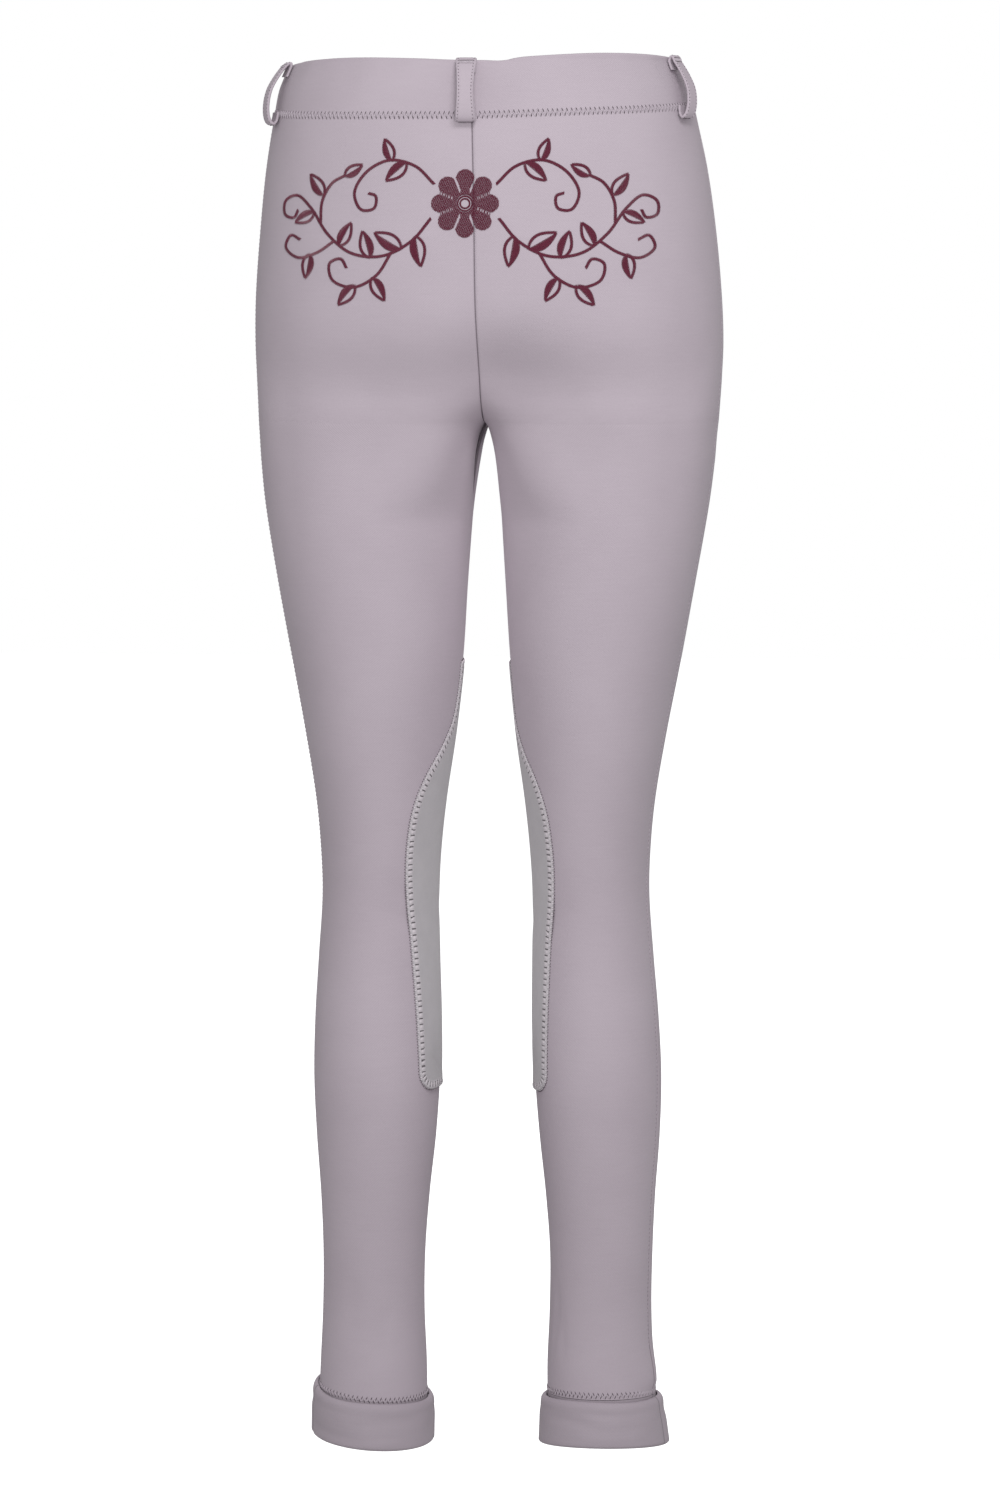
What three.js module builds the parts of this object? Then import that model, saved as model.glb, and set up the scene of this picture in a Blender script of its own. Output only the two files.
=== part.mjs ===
// Child's riding breeches of the jodhpur cut, filled out as on a wearer: shaped waistband with three
// belt loops, two back and two front panels from waist to ankle, knee patches and turned-up ankles.
// Millimetres, +Z up. The back of the garment faces -Y, and +X is the wearer's right.
// The origin is the middle of the waist, halfway down the waistband, where the wearer holds it up.
import * as THREE from 'three';

// Cloth thicknesses and the gap left between sewn pieces.
const CLOTH = 1.6;
const DOUBLE_CLOTH = 2.6;
const PATCH_CLOTH = 1.2;
const SEAM_GAP = 0.3;

// Drops are measured down from the top of the waistband at the side seams.
const WAIST_DROP = 18;
const CROTCH_DROP = 233;
const HEM_DROP = 884;

// The form of the wearer's right half. Each row is a level oval: outer and inner are its reach from
// the centre plane, back and front its reach in depth, squareness its exponent (2 is an ellipse), and
// sideSeam is how many degrees the side seam lies behind the outermost line. Where inner is
// negative the oval runs past the centre plane and is cut off there by the centre seams. lean is how
// far the middle stands over to the wearer's right.
const FORM = [
  { drop: 0, outer: 127.5, inner: -127.5, back: -91, front: 90, squareness: 2.12, sideSeam: 3, lean: -2.2 },
  { drop: 8, outer: 131.3, inner: -131.3, back: -93.5, front: 91, squareness: 2.12, sideSeam: 3, lean: -2.1 },
  { drop: 18, outer: 135.4, inner: -135.4, back: -95.5, front: 92, squareness: 2.13, sideSeam: 3, lean: -1.9 },
  { drop: 35, outer: 138.9, inner: -138.6, back: -98, front: 93, squareness: 2.14, sideSeam: 3, lean: -1.5 },
  { drop: 70, outer: 145.3, inner: -140, back: -104, front: 95, squareness: 2.16, sideSeam: 3, lean: -0.3 },
  { drop: 110, outer: 150, inner: -131, back: -109, front: 95, squareness: 2.18, sideSeam: 4, lean: 0.8 },
  { drop: 150, outer: 153.2, inner: -106, back: -111.5, front: 93, squareness: 2.18, sideSeam: 4, lean: 1.4 },
  { drop: 180, outer: 154, inner: -72, back: -111, front: 90.5, squareness: 2.16, sideSeam: 5, lean: 1.9 },
  { drop: 205, outer: 153.1, inner: -35, back: -108, front: 88, squareness: 2.13, sideSeam: 5, lean: 1.9 },
  { drop: 220, outer: 152.3, inner: -14.5, back: -105, front: 86, squareness: 2.11, sideSeam: 6, lean: 1.7 },
  { drop: 233, outer: 151.6, inner: 0, back: -102, front: 84, squareness: 2.1, sideSeam: 6, lean: 1.4 },
  { drop: 243, outer: 150.8, inner: 4.4, back: -99.5, front: 83, squareness: 2.1, sideSeam: 7, lean: 1.1 },
  { drop: 260, outer: 149.7, inner: 7.5, back: -96, front: 81.5, squareness: 2.1, sideSeam: 7, lean: 0.8 },
  { drop: 290, outer: 146.4, inner: 9.6, back: -91.5, front: 79.5, squareness: 2.08, sideSeam: 8, lean: 0.2 },
  { drop: 340, outer: 138.2, inner: 12.9, back: -85, front: 75, squareness: 2.06, sideSeam: 9, lean: -0.3 },
  { drop: 390, outer: 129.3, inner: 16, back: -78, front: 69.5, squareness: 2.04, sideSeam: 10, lean: -0.4 },
  { drop: 440, outer: 120.1, inner: 21.2, back: -70, front: 63.5, squareness: 2.02, sideSeam: 11, lean: -0.9 },
  { drop: 485, outer: 113, inner: 27.6, back: -62, front: 58.5, squareness: 2, sideSeam: 12, lean: -1.3 },
  { drop: 520, outer: 110, inner: 31.3, back: -56, front: 55.5, squareness: 2, sideSeam: 12, lean: -1.5 },
  { drop: 550, outer: 109.4, inner: 32.8, back: -53, front: 52.5, squareness: 2, sideSeam: 13, lean: -1.4 },
  { drop: 590, outer: 112.1, inner: 32.4, back: -54, front: 47.5, squareness: 2, sideSeam: 14, lean: -1 },
  { drop: 630, outer: 115, inner: 31.7, back: -57, front: 42.5, squareness: 2, sideSeam: 15, lean: -0.2 },
  { drop: 670, outer: 116.4, inner: 32.1, back: -58, front: 38.5, squareness: 2, sideSeam: 16, lean: 0.5 },
  { drop: 710, outer: 115.1, inner: 34.9, back: -55, front: 35, squareness: 2, sideSeam: 17, lean: 0.8 },
  { drop: 750, outer: 112.4, inner: 39.2, back: -50, front: 32.5, squareness: 2, sideSeam: 17, lean: 0.6 },
  { drop: 790, outer: 110.9, inner: 42.2, back: -45, front: 31.5, squareness: 2, sideSeam: 17, lean: 0.3 },
  { drop: 830, outer: 110.9, inner: 42.4, back: -41.5, front: 31.5, squareness: 2, sideSeam: 17, lean: -0.3 },
  { drop: 870, outer: 112.8, inner: 40.9, back: -41, front: 33.5, squareness: 2, sideSeam: 16, lean: -0.4 },
  { drop: 925, outer: 115.8, inner: 41.3, back: -42, front: 36, squareness: 2, sideSeam: 16, lean: 0.3 },
];

// The waistband's top edge and the waist seam, by turn: 0 is the centre back, 1 the side, 2 the
// centre front. Both dip at the centre back, and the front is cut lower.
const WAISTBAND = [
  { turn: 0, top: 0.5, seam: 36.3 },
  { turn: 0.45, top: -3, seam: 34.2 },
  { turn: 1, top: 0, seam: 31 },
  { turn: 1.5, top: 4.5, seam: 36 },
  { turn: 2, top: 8, seam: 40 },
];
// The waist's rise per millimetre towards the wearer's right.
const WAIST_TILT = 0.016;

// Knee patch: how far it reaches from the leg's inmost line, in degrees towards the back and front.
const KNEE_PATCH = [
  { drop: 393, back: 6, front: 18 },
  { drop: 411, back: 6, front: 24 },
  { drop: 430, back: 11, front: 34 },
  { drop: 447, back: 25, front: 45 },
  { drop: 466, back: 41, front: 57 },
  { drop: 486, back: 51, front: 66 },
  { drop: 506, back: 55, front: 71 },
  { drop: 529, back: 56, front: 73 },
  { drop: 552, back: 54, front: 72 },
  { drop: 576, back: 50, front: 69 },
  { drop: 621, back: 45, front: 63 },
  { drop: 677, back: 40.5, front: 57 },
];
const PATCH_CORNER = 13;
const PATCH_TIP_CORNER = 3;
const PATCH_GAP = 0.6;

// Turned-up ankles, each a little askew, as the two stand on a wearer. roll is the rise per
// millimetre outwards, pitch the rise per millimetre backwards and foldPitch the same for the lower
// edge, which is folded unevenly. flare is how far that edge stands out.
const TURN_UP_GAP = 2.5;
const HEM_ABOVE_EDGE = 1.5;
const TURN_UPS = {
  left: { top: 888, height: 32, roll: 0.075, pitch: -0.03, foldPitch: -0.02, flare: -0.6 },
  right: { top: 887.7, height: 34.5, roll: 0, pitch: 0.07, foldPitch: 0.17, flare: 1.8 },
};

// Belt loop strip: its middle line as distance out from the waistband and drop below its top edge.
// Both ends are turned under and lie flat on the band. slant is the turn that the lower end lies
// nearer to the back, and bulge how slack the loop is.
const LOOP_WIDTH = 12.5;
const LOOP_CLOTH = 2;
const LOOP_LINE = [
  { out: 1.6, drop: 8.5 },
  { out: 1.6, drop: 4 },
  { out: 2, drop: 1.1 },
  { out: 3.2, drop: -0.3 },
  { out: 4.9, drop: 1.4 },
  { out: 7.2, drop: 7.5 },
  { out: 8.9, drop: 16 },
  { out: 9.3, drop: 24.5 },
  { out: 8.4, drop: 32 },
  { out: 6.2, drop: 37.2 },
  { out: 3.6, drop: 39 },
  { out: 2.1, drop: 37.6 },
  { out: 1.6, drop: 34.8 },
  { out: 1.6, drop: 31.5 },
];
const BELT_LOOPS = [
  { name: 'belt_loop_back', side: -1, turn: 0.012, slant: 0, bulge: 1 },
  { name: 'belt_loop_left', side: -1, turn: 0.82, slant: 0.01, bulge: 0.98 },
  { name: 'belt_loop_right', side: 1, turn: 0.835, slant: 0.06, bulge: 0.92 },
];

const SIDES = [
  { name: 'left', sign: -1 },
  { name: 'right', sign: 1 },
];

const MATERIALS = {
  knit: new THREE.MeshStandardMaterial({ color: 0xb5a8b3, roughness: 0.85, metalness: 0 }),
  suede: new THREE.MeshStandardMaterial({ color: 0xa9a6a9, roughness: 0.95, metalness: 0 }),
};

// A smooth curve through one column of a table, with each row's slope taken from its neighbours.
function along(table, key, column, at) {
  const last = table.length - 1;
  if (at <= table[0][key]) return table[0][column];
  if (at >= table[last][key]) return table[last][column];
  const i = table.findIndex((row) => row[key] > at) - 1;
  const slope = (k) => {
    const before = table[Math.max(k - 1, 0)];
    const after = table[Math.min(k + 1, last)];
    return (after[column] - before[column]) / (after[key] - before[key]);
  };
  const step = table[i + 1][key] - table[i][key];
  const t = (at - table[i][key]) / step;
  return (
    table[i][column] * (1 + 2 * t) * (1 - t) ** 2 +
    table[i + 1][column] * t * t * (3 - 2 * t) +
    slope(i) * step * t * (1 - t) ** 2 +
    slope(i + 1) * step * t * t * (t - 1)
  );
}

const radians = THREE.MathUtils.degToRad;
const signedPower = (value, power) => Math.sign(value) * Math.abs(value) ** power;

function ovalAt(drop) {
  const size = (column) => along(FORM, 'drop', column, drop);
  const [outer, inner, back, front] = ['outer', 'inner', 'back', 'front'].map(size);
  return {
    middleX: (outer + inner) / 2,
    halfWidth: (outer - inner) / 2,
    middleY: (front + back) / 2,
    halfDepth: (front - back) / 2,
    squareness: size('squareness'),
  };
}

// The largest angle, either way from the outermost line, that a section reaches: half a turn on a
// leg, and less above the crotch, where the centre plane cuts the oval off.
function reach(drop) {
  const { middleX, halfWidth, squareness } = ovalAt(drop);
  const cut = THREE.MathUtils.clamp(middleX / halfWidth, 0, 1);
  return Math.PI - Math.acos(cut ** (squareness / 2));
}

// A point of the wearer's right half, moved out from the skin of the form by a distance. The angle
// runs from the outermost line, negative to the back and positive to the front.
function formPoint(angle, drop, out = 0) {
  const oval = ovalAt(drop);
  const power = 2 / oval.squareness;
  const x = oval.middleX + oval.halfWidth * signedPower(Math.cos(angle), power);
  const y = oval.middleY + oval.halfDepth * signedPower(Math.sin(angle), power);
  const point = new THREE.Vector3(Math.max(x, 0), y, WAIST_DROP - drop);
  return out === 0 ? point : point.addScaledVector(formNormal(x, y, drop), out);
}

function formNormal(x, y, drop) {
  const step = 0.4;
  const outside = (px, py, at) => {
    const oval = ovalAt(at);
    return (
      Math.abs((px - oval.middleX) / oval.halfWidth) ** oval.squareness +
      Math.abs((py - oval.middleY) / oval.halfDepth) ** oval.squareness
    );
  };
  return new THREE.Vector3(
    outside(x + step, y, drop) - outside(x - step, y, drop),
    outside(x, y + step, drop) - outside(x, y - step, drop),
    outside(x, y, drop - step) - outside(x, y, drop + step),
  ).normalize();
}

const lean = (drop) => along(FORM, 'drop', 'lean', drop);

// The same point by turn: 0 is the centre back seam or inside leg seam, 1 the outermost line and 2
// the centre front or inside leg seam again. Halves stand half a seam gap off the centre plane.
function skinPoint(sign, turn, drop, out = 0) {
  const point = formPoint((turn - 1) * reach(drop), drop, out);
  point.x = sign * (point.x + SEAM_GAP / 2) + lean(drop);
  return point;
}

// How much turn covers a length along a section.
function turnFor(length, turn, drop) {
  const step = 0.01;
  const here = skinPoint(1, turn - step, drop);
  return (length * 2 * step) / here.distanceTo(skinPoint(1, turn + step, drop));
}

const sideSeamTurn = (drop) => 1 - radians(along(FORM, 'drop', 'sideSeam', drop)) / reach(drop);

// How far down the waistband's top edge or the waist seam lies, on the wearer's left (-1) or right.
function bandEdge(edge, turn, sign) {
  const level = along(WAISTBAND, 'turn', edge, turn);
  return level - WAIST_TILT * sign * skinPoint(1, turn, level).x;
}
const SEAM_LEVEL = along(WAISTBAND, 'turn', 'seam', 1);

// A closed solid from a row of cross-sections, each a strip of cloth with points on its outer and
// inner faces. A ring has no ends. The faces are turned to point out.
function stripSolid(sections, isRing = false) {
  const width = sections[0].outer.length;
  const size = 2 * width;
  const points = sections.flatMap(({ outer, inner }) => [...outer, ...inner.slice().reverse()]);
  const index = (i, j) => (i % sections.length) * size + (j % size);
  const triangles = [];
  const quad = (a, b, c, d) => triangles.push([a, b, c], [a, c, d]);
  const spans = isRing ? sections.length : sections.length - 1;
  for (let i = 0; i < spans; i++) {
    for (let j = 0; j < size; j++) {
      quad(index(i, j), index(i, j + 1), index(i + 1, j + 1), index(i + 1, j));
    }
  }
  if (!isRing) {
    const end = sections.length - 1;
    for (let j = 0; j < width - 1; j++) {
      const mate = size - 1 - j;
      quad(index(0, j), index(0, mate), index(0, mate - 1), index(0, j + 1));
      quad(index(end, j), index(end, j + 1), index(end, mate - 1), index(end, mate));
    }
  }
  const volume = triangles.reduce((sum, [a, b, c]) => {
    const normal = new THREE.Vector3().crossVectors(points[b], points[c]);
    return sum + points[a].dot(normal);
  }, 0);
  if (volume < 0) triangles.forEach((corners) => corners.reverse());
  const geometry = new THREE.BufferGeometry().setFromPoints(points);
  geometry.setIndex(triangles.flat());
  geometry.computeVertexNormals();
  return geometry;
}

const garment = new THREE.Group();

function addPiece(name, geometry, material) {
  const mesh = new THREE.Mesh(geometry, material);
  mesh.name = name;
  garment.add(mesh);
}

const steps = (count) => Array.from({ length: count + 1 }, (_, k) => k / count);
const blend = THREE.MathUtils.lerp;
const easeOff = (at, from, to) => 1 - THREE.MathUtils.smoothstep(at, from, to);

// A leg panel from the waist seam to the hem, between its inner edge (the centre seam, then the
// inside leg seam) and the side seam. Rows crowd together at the crotch.
const ROWS_ABOVE_CROTCH = 10;
const ROWS_BELOW_CROTCH = 28;
const PANEL_COLUMNS = 12;
const SEAT_EASE_DROP = 110;
const ANKLE_EASE_DROP = 800;

function panelDrops() {
  const above = steps(ROWS_ABOVE_CROTCH).map((t) => CROTCH_DROP - (CROTCH_DROP - SEAM_LEVEL) * t ** 1.7);
  const below = steps(ROWS_BELOW_CROTCH).map((t) => CROTCH_DROP + (HEM_DROP - CROTCH_DROP) * t ** 1.35);
  return [...above.reverse(), ...below.slice(1)];
}

function panel(side, isBack) {
  const inseamTurn = isBack ? 0 : 2;
  const sections = panelDrops().map((drop) => {
    const halfGap = SEAM_GAP / 2;
    const seamTrim = turnFor(halfGap, 1, drop);
    const inseamTrim = drop > CROTCH_DROP ? seamTrim : 0;
    const seam = sideSeamTurn(drop) + (isBack ? -seamTrim : seamTrim);
    const inseam = inseamTurn + (isBack ? inseamTrim : -inseamTrim);
    const place = (out) => (t) => {
      const turn = blend(inseam, seam, t);
      const waistRise = SEAM_LEVEL - halfGap - bandEdge('seam', turn, side.sign);
      const waistShift = -waistRise * easeOff(drop, SEAM_LEVEL, SEAT_EASE_DROP);
      const hem = TURN_UPS[side.name].top + askew(side, turn, 'pitch') - HEM_ABOVE_EDGE;
      const hemShift = (hem - HEM_DROP) * (1 - easeOff(drop, ANKLE_EASE_DROP, HEM_DROP));
      return skinPoint(side.sign, turn, drop + waistShift + hemShift, out);
    };
    const across = steps(PANEL_COLUMNS);
    return { outer: across.map(place(0)), inner: across.map(place(-CLOTH)) };
  });
  return stripSolid(sections);
}

// How far down a turn-up's upper edge (pitch) or lower edge (foldPitch) lies at a turn, above or
// below its middle.
function askew(side, turn, slope) {
  const oval = ovalAt(HEM_DROP);
  const point = skinPoint(1, turn, HEM_DROP);
  const rise = TURN_UPS[side.name].roll * (point.x - oval.middleX);
  return -rise + TURN_UPS[side.name][slope] * (point.y - oval.middleY);
}

for (const side of SIDES) {
  addPiece(`back_${side.name}`, panel(side, true), MATERIALS.knit);
  addPiece(`front_${side.name}`, panel(side, false), MATERIALS.knit);
}

// Waistband: doubled cloth with a rounded fold at its top, in a back and a front piece that meet at
// the side seams.
const BAND_COLUMNS = 26;
const BAND_PROFILE = [
  { down: 1, outer: 0, inner: 1 },
  { down: 0.5, outer: 0.02, inner: 1 },
  { down: 0.06, outer: 0.06, inner: 0.94 },
  { down: 0, outer: 0.34, inner: 0.66 },
];

function waistbandPiece(isBack) {
  const seam = sideSeamTurn(SEAM_LEVEL);
  const trim = turnFor(SEAM_GAP / 2, 1, WAIST_DROP);
  const end = isBack ? seam - trim : seam + trim;
  const start = isBack ? 0 : 2;
  const sections = steps(BAND_COLUMNS).map((t) => {
    const sign = t < 0.5 ? -1 : 1;
    const turn = blend(start, end, Math.abs(2 * t - 1));
    const top = bandEdge('top', turn, sign);
    const bottom = bandEdge('seam', turn, sign) - SEAM_GAP / 2;
    const place = (face) => (row) => {
      const drop = blend(top, bottom, row.down);
      const point = formPoint((turn - 1) * reach(0), drop, -DOUBLE_CLOTH * row[face]);
      point.x = sign * point.x + lean(drop);
      return point;
    };
    return { outer: BAND_PROFILE.map(place('outer')), inner: BAND_PROFILE.map(place('inner')) };
  });
  return stripSolid(sections);
}

addPiece('waistband_back', waistbandPiece(true), MATERIALS.knit);
addPiece('waistband_front', waistbandPiece(false), MATERIALS.knit);

// Knee patch: a sueded panel laid over the inside of the knee, across the inside leg seam, with
// rounded lower corners.
const PATCH_ROWS = 22;
const PATCH_COLUMNS = 13;

function kneePatch(side) {
  const first = KNEE_PATCH[0].drop;
  const last = KNEE_PATCH[KNEE_PATCH.length - 1].drop;
  const rounded = (distance, radius) => radius - Math.sqrt(radius ** 2 - Math.max(radius - distance, 0) ** 2);
  const sections = steps(PATCH_ROWS).map((t) => {
    const drop = blend(first, last, (1 - Math.cos(Math.PI * t)) / 2);
    const oval = ovalAt(drop);
    const cut = rounded(last - drop, PATCH_CORNER) + rounded(drop - first, PATCH_TIP_CORNER);
    const cutAngle = cut / ((oval.halfWidth + oval.halfDepth) / 2);
    const back = radians(along(KNEE_PATCH, 'drop', 'back', drop)) - cutAngle;
    const front = radians(along(KNEE_PATCH, 'drop', 'front', drop)) - cutAngle;
    const place = (out) => (u) => {
      const point = formPoint(Math.PI + blend(back, -front, u), drop, out);
      point.x = side.sign * (point.x + SEAM_GAP / 2) + lean(drop);
      return point;
    };
    const across = steps(PATCH_COLUMNS);
    return {
      outer: across.map(place(PATCH_GAP + PATCH_CLOTH)),
      inner: across.map(place(PATCH_GAP)),
    };
  });
  return stripSolid(sections);
}

for (const side of SIDES) {
  addPiece(`knee_patch_${side.name}`, kneePatch(side), MATERIALS.suede);
}

// Turn-up: doubled cloth that runs down from the hem seam, folds round the ankle edge and stands up
// outside the leg with a rounded top.
const TURN_UP_COLUMNS = 36;
const FOLD_DEPTH = 2.8;

function turnUp(side) {
  const { top, height, flare } = TURN_UPS[side.name];
  const hem = top - HEM_ABOVE_EDGE + SEAM_GAP;
  const foldStart = top + height - FOLD_DEPTH;
  const inside = { gap: TURN_UP_GAP, depth: FOLD_DEPTH / 3 };
  const outside = { gap: TURN_UP_GAP + DOUBLE_CLOTH, depth: FOLD_DEPTH };
  // One face of the doubled cloth, from its standing edge down, round the fold and up to the hem.
  const faceLine = ({ gap, depth }, edgeGap, hemOut) => {
    const fold = steps(4).map((t) => ({
      out: blend(gap + flare, hemOut, (1 - Math.cos(Math.PI * t)) / 2),
      drop: foldStart + depth * Math.sin(Math.PI * t),
    }));
    return [
      { out: edgeGap, drop: top },
      { out: gap, drop: top + 1 },
      { out: gap + flare * 0.4, drop: (top + foldStart) / 2 },
      ...fold,
      { out: hemOut, drop: hem },
    ];
  };
  const outerLine = faceLine(outside, outside.gap - DOUBLE_CLOTH / 3, -DOUBLE_CLOTH);
  const innerLine = faceLine(inside, inside.gap + DOUBLE_CLOTH / 3, 0);
  const sections = steps(TURN_UP_COLUMNS).slice(0, -1).map((t) => {
    const turn = 2 * t;
    const edge = askew(side, turn, 'pitch');
    const fold = askew(side, turn, 'foldPitch');
    const place = ({ out, drop }) => {
      const down = blend(edge, fold, (drop - top) / height);
      return skinPoint(side.sign, turn, drop + down, out);
    };
    return { outer: outerLine.map(place), inner: innerLine.map(place) };
  });
  return stripSolid(sections, true);
}

for (const side of SIDES) {
  addPiece(`turn_up_${side.name}`, turnUp(side), MATERIALS.knit);
}

// Belt loop: a flat strip that stands off the waistband far enough for a belt.
const LOOP_STATIONS = 26;
const LOOP_EDGE = 0.3;

function beltLoop({ side, turn, slant, bulge }) {
  const curve = new THREE.CatmullRomCurve3(
    LOOP_LINE.map(({ out, drop }) => {
      const seat = LOOP_LINE[0].out;
      return new THREE.Vector3(seat + (out - seat) * bulge, drop, 0);
    }),
    false,
    'centripetal',
  );
  const bandTop = bandEdge('top', turn, side);
  const length = LOOP_LINE[LOOP_LINE.length - 4].drop;
  const place = (out, drop, across) => {
    const angle = (turn - (slant * drop) / length - 1) * reach(0);
    const middle = formPoint(angle, WAIST_DROP);
    const outwards = formNormal(middle.x, middle.y, WAIST_DROP).setZ(0).normalize();
    const widthways = new THREE.Vector3(-outwards.y, outwards.x, 0);
    const point = formPoint(angle, bandTop + drop);
    point.addScaledVector(outwards, out).addScaledVector(widthways, across);
    point.x = side * point.x + lean(drop);
    return point;
  };
  const widths = [-0.5, -0.5 + LOOP_EDGE / LOOP_WIDTH, 0.5 - LOOP_EDGE / LOOP_WIDTH, 0.5];
  const sections = steps(LOOP_STATIONS).map((t) => {
    const at = curve.getPointAt(t);
    const tangent = curve.getTangentAt(t);
    const face = (direction) => (width) => {
      const isEdge = Math.abs(width) === 0.5;
      const half = (direction * (LOOP_CLOTH - (isEdge ? LOOP_EDGE * 2 : 0))) / 2;
      return place(at.x + tangent.y * half, at.y - tangent.x * half, width * LOOP_WIDTH);
    };
    return { outer: widths.map(face(1)), inner: widths.map(face(-1)) };
  });
  return stripSolid(sections);
}

for (const loop of BELT_LOOPS) {
  addPiece(loop.name, beltLoop(loop), MATERIALS.knit);
}

export default garment;
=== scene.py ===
# Child's riding breeches of the jodhpur cut, seen from behind and filled out as on a wearer.
# Sizes are given in millimetres and drops are measured down from the top of the waistband at the
# side seams, as in the CAD model. The meshes are made in metres, in the CAD model's frame.
import math
import bpy
import numpy as np
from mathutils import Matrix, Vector


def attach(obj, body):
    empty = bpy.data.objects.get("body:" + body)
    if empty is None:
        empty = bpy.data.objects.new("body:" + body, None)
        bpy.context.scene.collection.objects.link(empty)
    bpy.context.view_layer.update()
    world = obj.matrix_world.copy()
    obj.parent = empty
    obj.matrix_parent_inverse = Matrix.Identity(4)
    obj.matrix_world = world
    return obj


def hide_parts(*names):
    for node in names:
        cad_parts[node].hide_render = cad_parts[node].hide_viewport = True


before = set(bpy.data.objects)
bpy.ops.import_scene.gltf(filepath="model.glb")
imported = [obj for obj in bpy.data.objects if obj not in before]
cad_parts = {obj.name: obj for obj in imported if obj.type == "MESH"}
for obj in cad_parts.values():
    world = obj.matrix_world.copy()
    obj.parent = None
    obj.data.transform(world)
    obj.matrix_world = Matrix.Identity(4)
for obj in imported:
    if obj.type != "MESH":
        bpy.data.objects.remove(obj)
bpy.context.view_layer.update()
bpy.ops.object.select_all(action="DESELECT")

# BACK AND FRONT PANELS
# Two back and two front panels of fine stretch knit, each cut in one length from the waist seam to
# the ankle. Plain seams join them at the centre back, centre front, sides and inside legs, and pull
# the cloth in to a fine groove.
KNIT = 1.3
WAIST_DROP = 18
CROTCH_DROP = 233
HEM_DROP = 884
SEAM_LEVEL = 31

# The worn form of the right half: drop, outer, inner, back, front, squareness, side seam, lean.
FORM = np.array([
    (0, 127.5, -127.5, -91, 90, 2.12, 3, -2.2),
    (8, 131.3, -131.3, -93.5, 91, 2.12, 3, -2.1),
    (18, 135.4, -135.4, -95.5, 92, 2.13, 3, -1.9),
    (35, 138.9, -138.6, -98, 93, 2.14, 3, -1.5),
    (70, 145.3, -140, -104, 95, 2.16, 3, -0.3),
    (110, 150, -131, -109, 95, 2.18, 4, 0.8),
    (150, 153.2, -106, -111.5, 93, 2.18, 4, 1.4),
    (180, 154, -72, -111, 90.5, 2.16, 5, 1.9),
    (205, 153.1, -35, -108, 88, 2.13, 5, 1.9),
    (220, 152.3, -14.5, -105, 86, 2.11, 6, 1.7),
    (233, 151.6, 0, -102, 84, 2.1, 6, 1.4),
    (243, 150.8, 4.4, -99.5, 83, 2.1, 7, 1.1),
    (260, 149.7, 7.5, -96, 81.5, 2.1, 7, 0.8),
    (290, 146.4, 9.6, -91.5, 79.5, 2.08, 8, 0.2),
    (340, 138.2, 12.9, -85, 75, 2.06, 9, -0.3),
    (390, 129.3, 16, -78, 69.5, 2.04, 10, -0.4),
    (440, 120.1, 21.2, -70, 63.5, 2.02, 11, -0.9),
    (485, 113, 27.6, -62, 58.5, 2, 12, -1.3),
    (520, 110, 31.3, -56, 55.5, 2, 12, -1.5),
    (550, 109.4, 32.8, -53, 52.5, 2, 13, -1.4),
    (590, 112.1, 32.4, -54, 47.5, 2, 14, -1),
    (630, 115, 31.7, -57, 42.5, 2, 15, -0.2),
    (670, 116.4, 32.1, -58, 38.5, 2, 16, 0.5),
    (710, 115.1, 34.9, -55, 35, 2, 17, 0.8),
    (750, 112.4, 39.2, -50, 32.5, 2, 17, 0.6),
    (790, 110.9, 42.2, -45, 31.5, 2, 17, 0.3),
    (830, 110.9, 42.4, -41.5, 31.5, 2, 17, -0.3),
    (870, 112.8, 40.9, -41, 33.5, 2, 16, -0.4),
    (925, 115.8, 41.3, -42, 36, 2, 16, 0.3),
])
OUTER, INNER, BACK, FRONT, SQUARENESS, SIDE_SEAM, LEAN = range(1, 8)

# The waistband's top edge and the waist seam round the body: turn, top, seam.
WAIST = np.array([(0, 0.5, 36.3), (0.45, -3, 34.2), (1, 0, 31), (1.5, 4.5, 36), (2, 8, 40)])
WAIST_TILT = 0.016

# Turn-ups, each a little askew: top, height, roll, pitch, fold pitch, flare.
TURN_UPS = {
    "left": (888, 32, 0.075, -0.03, -0.02, -0.6),
    "right": (887.7, 34.5, 0, 0.07, 0.17, 1.8),
}
SIDES = {"left": -1, "right": 1}


def along(table, column, at):
    """A smooth curve through a column of a table, each row's slope taken from its neighbours."""
    last = len(table) - 1
    at = np.clip(at, table[0, 0], table[last, 0])
    i = np.clip(np.searchsorted(table[:, 0], at, side="right") - 1, 0, last - 1)
    before = np.maximum(np.arange(last + 1) - 1, 0)
    after = np.minimum(np.arange(last + 1) + 1, last)
    slope = (table[after, column] - table[before, column]) / (table[after, 0] - table[before, 0])
    step = table[i + 1, 0] - table[i, 0]
    t = (at - table[i, 0]) / step
    return (
        table[i, column] * (1 + 2 * t) * (1 - t) ** 2
        + table[i + 1, column] * t * t * (3 - 2 * t)
        + slope[i] * step * t * (1 - t) ** 2
        + slope[i + 1] * step * t * t * (t - 1)
    )


def smooth_step(at, start, end):
    t = np.clip((at - start) / (end - start), 0, 1)
    return t * t * (3 - 2 * t)


def hump(off, half_width):
    """1 on a line, falling off softly on both sides of it."""
    return np.exp(-((off / half_width) ** 2))


def unit(vectors):
    return vectors / np.linalg.norm(vectors, axis=-1, keepdims=True)


def signed_power(value, power):
    return np.sign(value) * np.abs(value) ** power


def oval(drop):
    outer, inner, back, front, square = (along(FORM, k, drop) for k in range(OUTER, SQUARENESS + 1))
    return (outer + inner) / 2, (outer - inner) / 2, (front + back) / 2, (front - back) / 2, square


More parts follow.
